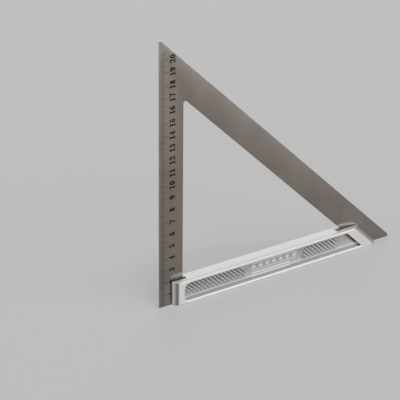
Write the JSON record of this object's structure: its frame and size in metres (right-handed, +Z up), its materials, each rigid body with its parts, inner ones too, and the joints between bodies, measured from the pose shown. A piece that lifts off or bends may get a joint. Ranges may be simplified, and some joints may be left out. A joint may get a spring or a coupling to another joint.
{
  "type": "mitre square",
  "caption": "Triangular 90 and 45 degree marking square: open steel blade with an edge scale, standing in a slotted cast stock.",
  "frame": {"origin": "on the surface the square stands on, under the middle of its length and of its thickness", "axes": "+X along the stock from the right-angle heel to the toe, +Y from the graduated front face to the rear, +Z up along the upright arm"},
  "size_m": [0.2152, 0.0108, 0.2153],
  "materials": {
    "blade_steel": "polished stainless steel",
    "cast_stock": "satin cast aluminium",
    "screw_steel": "zinc plated",
    "dowel_steel": "ground",
    "scale_ink": "black filled etching"
  },
  "bodies": {
    "root": {"blade": "blade_steel", "stock": "cast_stock", "heel_screw_lower": "screw_steel", "heel_screw_upper": "screw_steel", "heel_dowel": "dowel_steel", "toe_screw_lower": "screw_steel", "toe_screw_upper": "screw_steel", "toe_dowel": "dowel_steel"}
  },
  "joints": []
}
